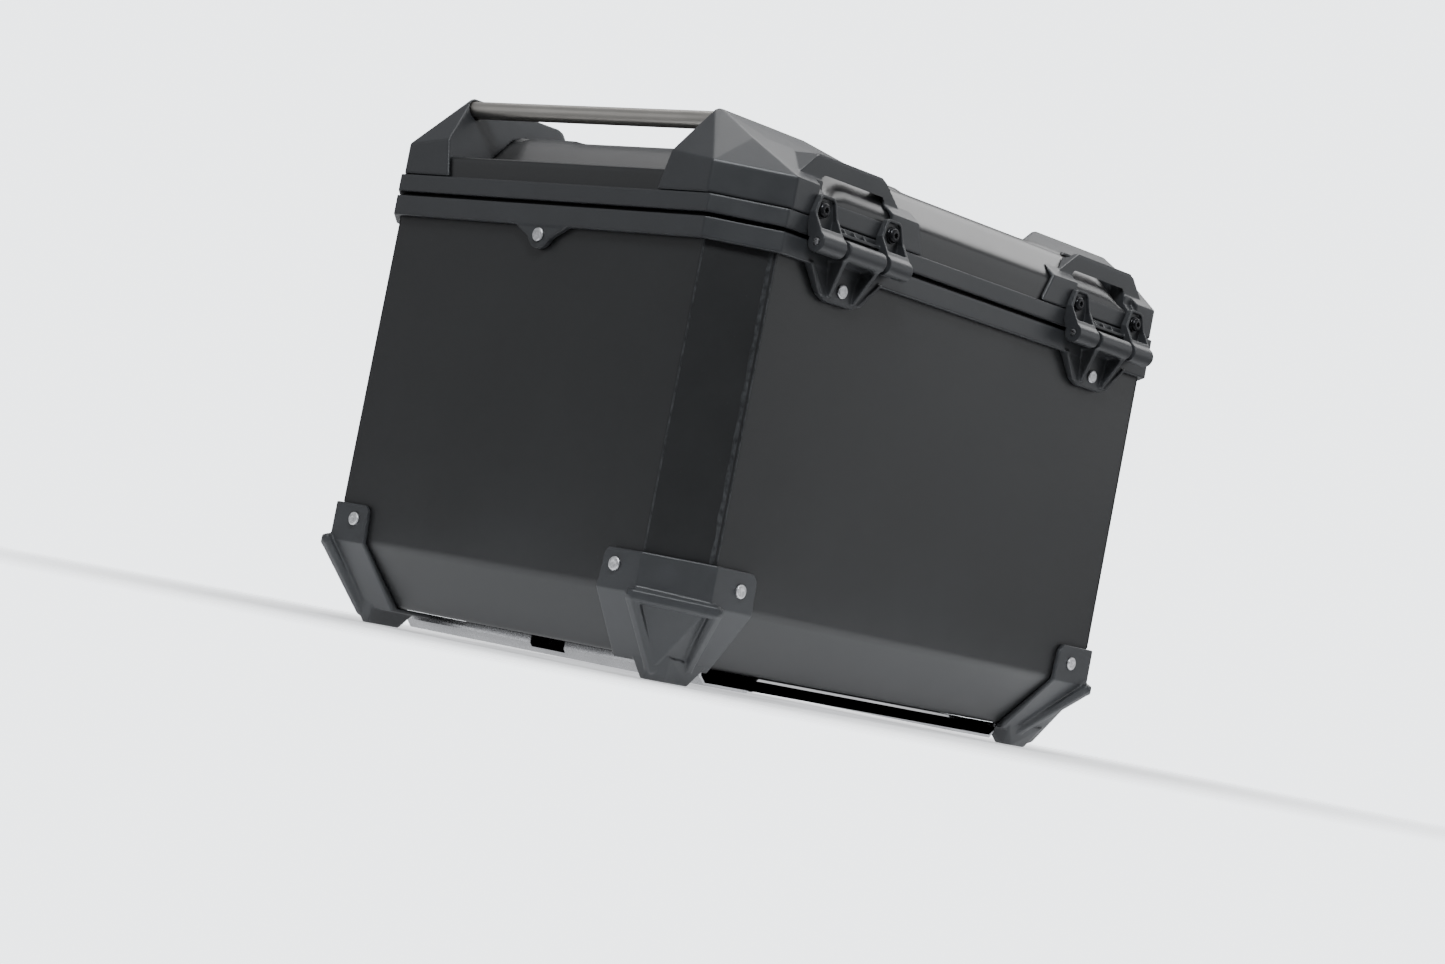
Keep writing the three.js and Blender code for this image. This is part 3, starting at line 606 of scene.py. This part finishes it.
def blind_rivet(name, axis):
    """Low flat head with a filled mandrel hole, the shank and the swelled blind end."""
    end, direction, length = outer_end(name, axis)
    profile = [
        (0.4, -length), (2.2, -length + 0.1), (3.1, -length + 0.7), (3.2, -length + 1.2), (2, -length + 1.5),
        (2, -1.6), (3.95, -1.5), (4, -0.9), (3.85, -0.45), (3.5, -0.15), (2.9, -0.03),
        (1.35, 0), (1.15, -0.12), (0.9, -0.14), (0.2, -0.1),
    ]
    return turned(profile, axis_place(end, direction))


def button_screw(name):
    """Button head on a flange, with a six-lobe drive, its shank and a hexagon nut inside."""
    end, direction, length = outer_end(name, 1)
    profile = [
        (2.1, -length + 0.3), (2.1, -3.05), (4.75, -3.0), (4.9, -2.85), (4.9, -2.4), (4.75, -2.2),
        (4.2, -2.15), (4.2, -1.55), (4.05, -1.05), (3.7, -0.6), (3.1, -0.22), (2.4, -0.03),
        (1.75, 0), (1.5, -0.15), (1.42, -1.5), (0.2, -1.75),
    ]
    screw = turned(profile, axis_place(end, direction), 48, lobes=(13, 14))
    nut = [(3.3, -length), (3.95, -length + 0.5), (3.95, -length + 3.1), (3.3, -length + 3.6)]
    return joined(screw, turned(nut, axis_place(end, direction), 6))


def round_bar(name, axis, edge):
    """A pin or tube with eased ends."""
    centre, size = middle_of(name)
    length, radius = size[axis], size[(axis + 1) % 3] / 2
    start = centre.copy()
    start[axis] -= length / 2 * MM
    direction = Vector((0, 0, 0))
    direction[axis] = 1
    profile = [(radius * 0.5, 0), (radius - edge, 0), (radius - edge * 0.3, edge * 0.3), (radius, edge)]
    profile += [(radius, length * k / 6) for k in range(1, 6)]
    profile += [(radius, length - edge), (radius - edge * 0.3, length - edge * 0.3), (radius - edge, length)]
    profile += [(radius * 0.5, length)]
    return turned(profile, axis_place(start, direction), 48)


def floor_screw(name):
    """Button head inside the case, with the washer and nut under the mounting plate."""
    centre, size = middle_of(name)
    top = centre.copy()
    top.z += size.z / 2 * MM
    profile = [
        (3, -11.4), (3, -3.3), (6.3, -3.2), (6.4, -2.9), (6.4, -1.6), (6.0, -0.9),
        (5.2, -0.35), (4.4, 0), (2.5, 0),
        (2.3, -0.2), (2.3, -2.2), (0.2, -2.4),
    ]
    screw = turned(profile, axis_place(top, (0, 0, 1)), 48, lobes=(9, 10))
    nut = [(4.8, -11.4), (5.6, -10.8), (5.6, -8.1), (4.8, -7.5)]
    return joined(screw, turned(nut, axis_place(top, (0, 0, 1)), 6))


for name in sorted(frame["nodes"]):
    if name.startswith("rivet_"):
        axis = 0 if name.split("_")[1] in ("side", "tab") else 1
        piece(name.replace("rivet", "blind_rivet"), blind_rivet(name, axis), RIVET, [name])
    elif name.startswith(("hinge_screw", "latch_screw")):
        piece(name.replace("screw", "button_screw"), button_screw(name), BLACK_ZINC, [name], smooth=32)
    elif name.startswith(("hinge_pin", "latch_pin")):
        piece(name.replace("pin", "steel_pin"), round_bar(name, 0, 0.4), STAINLESS, [name])
    elif name.startswith("lashing_bar"):
        piece(name.replace("bar", "tube"), round_bar(name, 1, 0.8), ANODISED, [name])
    elif name.startswith("floor_screw"):
        piece(name.replace("screw", "bolt"), floor_screw(name), STAINLESS, [name], smooth=32)

piece("adapter_plate", edged("mounting_plate", 0.35), STAINLESS, ["mounting_plate"])


# ---------------------------------------------------------------- floor, light and camera
def stage_floor():
    """A wide pale floor with an even faint glow. It fades into the backdrop, so its edge is never in view."""
    angles = [2 * math.pi * k / 64 for k in range(64)]
    ring = [Vector((STAGE_RADIUS * math.cos(a), STAGE_RADIUS * math.sin(a), 0)) for a in angles]
    mesh = to_mesh("floor", ring, [tuple(range(64))])
    mat, shader = new_material("studio_floor", (0.8, 0.81, 0.82), 0.6)
    cloud = grain(mat, place_of(mat), 3, 2)
    pale = tint(mat, cloud, (0.79, 0.8, 0.81), (0.81, 0.82, 0.83))
    finish(mat, shader, pale, ramp(mat, cloud, 0.3, 0.7, 0.55, 0.65))
    distance = node(mat, "ShaderNodeVectorMath", {0: place_of(mat)}, operation="LENGTH")
    solid = ramp(mat, distance.outputs["Value"], *STAGE_FADE, 1, 0)
    mat.node_tree.links.new(solid, shader.inputs["Alpha"])
    shader.inputs["Emission Color"].default_value = (0.96, 0.975, 1, 1)
    shader.inputs["Emission Strength"].default_value = FLOOR_GLOW
    mesh.materials.append(mat)
    floor = bpy.data.objects.new("studio_floor", mesh)
    floor.location.z = -0.0005
    bpy.context.scene.collection.objects.link(floor)


def soft_box(name, where, size, power, colour=(1, 1, 1), aim=(0, 0, 0.18)):
    """A rectangular area light that the camera doesn't see."""
    light = bpy.data.lights.new(name, "AREA")
    light.shape = "RECTANGLE"
    light.size, light.size_y = size
    light.energy = power
    light.color = colour
    lamp = bpy.data.objects.new(name, light)
    lamp.location = where
    lamp.rotation_euler = (Vector(aim) - Vector(where)).to_track_quat("-Z", "Y").to_euler()
    lamp.visible_camera = False
    bpy.context.scene.collection.objects.link(lamp)


def studio_world():
    """A pale backdrop where the camera sees it; as a light it is weaker, and weakest towards +X +Y."""
    world = bpy.data.worlds.new("studio")
    world.use_nodes = True
    tree = world.node_tree
    seen = tree.nodes["Background"]
    seen.inputs["Color"].default_value = (0.93, 0.965, 1, 1)
    seen.inputs["Strength"].default_value = BACKDROP_SEEN
    felt = tree.nodes.new("ShaderNodeBackground")
    felt.inputs["Color"].default_value = (0.95, 0.965, 1, 1)
    coords = tree.nodes.new("ShaderNodeTexCoord")
    facing = tree.nodes.new("ShaderNodeVectorMath")
    facing.operation = "DOT_PRODUCT"
    facing.inputs[1].default_value = DIM_SIDE
    tree.links.new(coords.outputs["Generated"], facing.inputs[0])
    level = tree.nodes.new("ShaderNodeMapRange")
    level.interpolation_type = "SMOOTHSTEP"
    level.inputs["From Min"].default_value, level.inputs["From Max"].default_value = DIM_EDGE
    level.inputs["To Min"].default_value = BACKDROP_FELT
    level.inputs["To Max"].default_value = BACKDROP_DIM
    tree.links.new(facing.outputs["Value"], level.inputs["Value"])
    tree.links.new(level.outputs["Result"], felt.inputs["Strength"])
    path = tree.nodes.new("ShaderNodeLightPath")
    mix = tree.nodes.new("ShaderNodeMixShader")
    tree.links.new(path.outputs["Is Camera Ray"], mix.inputs["Fac"])
    tree.links.new(felt.outputs["Background"], mix.inputs[1])
    tree.links.new(seen.outputs["Background"], mix.inputs[2])
    tree.links.new(mix.outputs["Shader"], tree.nodes["World Output"].inputs["Surface"])
    bpy.context.scene.world = world


def photo_camera():
    """Level with the case's foot, on the diagonal of the hinge side and the right side, rolled."""
    azimuth, elevation, roll = map(math.radians, (131.862, -3.0825, 10.938))
    distance = 1.9767
    aim = Vector((6.367, -9.815, 126.424)) * MM
    level = math.cos(elevation)
    back = Vector((math.sin(azimuth) * level, -math.cos(azimuth) * level, math.sin(elevation)))
    level_right = Vector((0, 0, 1)).cross(back).normalized()
    right = Matrix.Rotation(roll, 3, back) @ level_right
    up = back.cross(right)
    data = bpy.data.cameras.new("camera")
    data.sensor_width = 36
    data.lens = 79.404
    data.clip_start, data.clip_end = 0.02, 100
    camera = bpy.data.objects.new("camera", data)
    turn = Matrix((right, up, back)).transposed().to_4x4()
    camera.matrix_world = Matrix.Translation(aim + back * distance) @ turn
    bpy.context.scene.collection.objects.link(camera)
    bpy.context.scene.camera = camera


stage_floor()
studio_world()
soft_box("top", (-1.35, -0.15, 2.0), (3.6, 1.2), 54, (1, 1, 1), (-1.35, -0.15, 0))
soft_box("lid_side", (-0.25, -1.55, 2.0), (0.7, 0.5), 1.6)
soft_box("side", (1.9, -1.7, 0.9), (1.6, 1.3), 2.6, (0.96, 0.98, 1))
soft_box("hinge_side", (-1.9, 1.7, 0.9), (1.6, 1.3), 7.2, (0.97, 0.985, 1))
soft_box("front_top", (1.3, 1.15, 1.8), (0.7, 0.7), 45, (0.93, 0.965, 1))
photo_camera()
